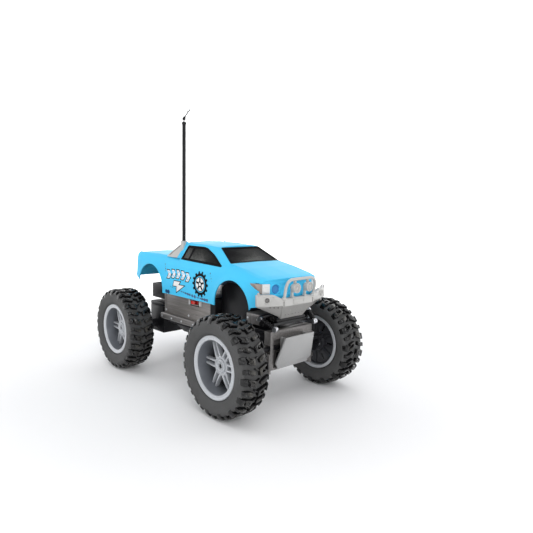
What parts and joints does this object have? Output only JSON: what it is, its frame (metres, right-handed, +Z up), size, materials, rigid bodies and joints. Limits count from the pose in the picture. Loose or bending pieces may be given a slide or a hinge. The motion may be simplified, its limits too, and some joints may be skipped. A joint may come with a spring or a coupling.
{
  "type": "rc monster truck",
  "caption": "Radio-controlled toy monster truck: pickup shell on a battery chassis with two tilting driven axles, linked front steering and large lugged tyres",
  "frame": {"origin": "on the ground below the middle of the wheelbase", "axes": "+X forward, +Y to the left of the truck, +Z up"},
  "size_m": [0.2264, 0.135, 0.2378],
  "materials": {
    "body_paint": "light blue moulded plastic, glossy",
    "trim_grey": "light warm grey plastic, satin",
    "chassis_grey": "mid grey plastic with a faint metallic sheen",
    "black_plastic": "black moulded plastic, satin",
    "window": "smoked glossy plastic",
    "lens": "white glossy plastic",
    "rim": "silver grey plastic, satin gloss",
    "tyre": "soft matte rubber",
    "gear": "natural nylon",
    "steel": "plain steel",
    "brass": "plain brass",
    "board": "green circuit board",
    "cell": "dark wrapped cell",
    "switch_red": "red plastic"
  },
  "bodies": {
    "chassis": {"body_shell": "body_paint", "cab_rear_panel": "trim_grey", "front_bumper": "trim_grey", "bull_bar": "trim_grey", "spot_lamp_right": "trim_grey", "spot_lamp_left": "trim_grey", "rear_window": "window", "windscreen": "window", "side_window_right": "window", "side_window_left": "window", "headlight_right": "lens", "headlight_left": "lens", "chassis_upper": "chassis_grey", "chassis_lower": "chassis_grey", "front_bracket": "chassis_grey", "front_yoke": "black_plastic", "rear_yoke": "black_plastic", "front_cross_bar": "black_plastic", "antenna_tube": "black_plastic", "antenna_wire": "black_plastic", "battery_cell_1": "cell", "battery_cell_2": "cell", "battery_cell_3": "cell", "battery_cell_4": "cell", "contact_plate_right": "steel", "contact_plate_left": "steel", "front_pivot_pin": "steel", "rear_pivot_pin": "steel", "circuit_board": "board"},
    "battery_door": {"battery_door": "black_plastic"},
    "power_switch": {"power_switch": "switch_red"},
    "front_axle": {"front_gearbox_case": "black_plastic", "front_gearbox_lid": "black_plastic", "front_drive_motor": "steel", "front_axle_beam": "chassis_grey", "skid_plate": "trim_grey", "steering_servo": "black_plastic"},
    "front_pinion": {"front_motor_pinion": "brass"},
    "front_idler": {"front_idler_gear": "gear"},
    "front_shaft": {"front_drive_shaft": "steel"},
    "servo_arm": {"servo_arm": "gear"},
    "tie_rod": {"tie_rod": "black_plastic"},
    "knuckle_right": {"knuckle_right": "black_plastic"},
    "knuckle_left": {"knuckle_left": "black_plastic"},
    "front_right_wheel": {"front_right_axle": "steel", "front_right_rim": "rim", "front_right_tyre": "tyre"},
    "front_left_wheel": {"front_left_axle": "steel", "front_left_rim": "rim", "front_left_tyre": "tyre"},
    "rear_axle": {"rear_gearbox_case": "black_plastic", "rear_gearbox_lid": "black_plastic", "rear_drive_motor": "steel"},
    "rear_pinion": {"rear_motor_pinion": "brass"},
    "rear_idler": {"rear_idler_gear": "gear"},
    "rear_wheels": {"rear_drive_shaft": "steel", "rear_right_rim": "rim", "rear_right_tyre": "tyre", "rear_left_rim": "rim", "rear_left_tyre": "tyre"}
  },
  "joints": [
    {"name": "front_axle_roll", "type": "hinge", "parent": "chassis", "child": "front_axle", "pos_m": [0.06, 0, 0.05], "axis": [1, 0, 0], "range_deg": [-8, 8]},
    {"name": "rear_axle_roll", "type": "hinge", "parent": "chassis", "child": "rear_axle", "pos_m": [-0.06, 0, 0.05], "axis": [1, 0, 0], "range_deg": [-8, 8]},
    {"name": "battery_door_lift", "type": "slide", "parent": "chassis", "child": "battery_door", "axis": [0, 0, -1], "range_m": [0, 0.014]},
    {"name": "power_switch_slide", "type": "slide", "parent": "chassis", "child": "power_switch", "axis": [1, 0, 0], "range_m": [0, 0.004]},
    {"name": "steering_left", "type": "hinge", "parent": "front_axle", "child": "knuckle_left", "pos_m": [0.0757, 0.037, 0.0375], "axis": [0, 0, 1], "range_deg": [-22, 22]},
    {"name": "steering_right", "type": "hinge", "parent": "front_axle", "child": "knuckle_right", "pos_m": [0.0757, -0.037, 0.0375], "axis": [0, 0, 1], "range_deg": [-22, 22]},
    {"name": "tie_rod_slide", "type": "slide", "parent": "front_axle", "child": "tie_rod", "axis": [0, 1, 0], "range_m": [-0.0045, 0.0045]},
    {"name": "servo_arm_turn", "type": "hinge", "parent": "front_axle", "child": "servo_arm", "pos_m": [0.091, 0, 0.0359], "axis": [1, 0, 0], "range_deg": [-28.3, 28.3]},
    {"name": "front_left_spin", "type": "hinge", "parent": "knuckle_left", "child": "front_left_wheel", "pos_m": [0.0757, 0.0555, 0.0375], "axis": [0, 1, 0], "continuous": true},
    {"name": "front_right_spin", "type": "hinge", "parent": "knuckle_right", "child": "front_right_wheel", "pos_m": [0.0757, -0.0555, 0.0375], "axis": [0, 1, 0], "continuous": true},
    {"name": "front_shaft_spin", "type": "hinge", "parent": "front_axle", "child": "front_shaft", "pos_m": [0.0757, 0, 0.0375], "axis": [0, 1, 0], "continuous": true},
    {"name": "front_idler_spin", "type": "hinge", "parent": "front_axle", "child": "front_idler", "pos_m": [0.06888, 0, 0.04187], "axis": [0, 1, 0], "continuous": true},
    {"name": "front_pinion_spin", "type": "hinge", "parent": "front_axle", "child": "front_pinion", "pos_m": [0.0747, 0, 0.0475], "axis": [0, 1, 0], "continuous": true},
    {"name": "rear_wheels_spin", "type": "hinge", "parent": "rear_axle", "child": "rear_wheels", "pos_m": [-0.0757, 0, 0.0375], "axis": [0, 1, 0], "continuous": true},
    {"name": "rear_idler_spin", "type": "hinge", "parent": "rear_axle", "child": "rear_idler", "pos_m": [-0.06888, 0, 0.04187], "axis": [0, 1, 0], "continuous": true},
    {"name": "rear_pinion_spin", "type": "hinge", "parent": "rear_axle", "child": "rear_pinion", "pos_m": [-0.0747, 0, 0.0475], "axis": [0, 1, 0], "continuous": true}
  ],
  "couplings": [
    {"joint": "steering_right", "follows": "steering_left", "ratio": 1},
    {"joint": "tie_rod_slide", "follows": "steering_left", "m_per_rad": 0.011707},
    {"joint": "servo_arm_turn", "follows": "steering_left", "ratio": -1.285},
    {"joint": "front_right_spin", "follows": "front_left_spin", "ratio": 1},
    {"joint": "front_shaft_spin", "follows": "front_left_spin", "ratio": 1},
    {"joint": "front_idler_spin", "follows": "front_left_spin", "ratio": -2.2},
    {"joint": "front_pinion_spin", "follows": "front_left_spin", "ratio": 6.6},
    {"joint": "rear_idler_spin", "follows": "rear_wheels_spin", "ratio": -2.2},
    {"joint": "rear_pinion_spin", "follows": "rear_wheels_spin", "ratio": 6.6}
  ]
}
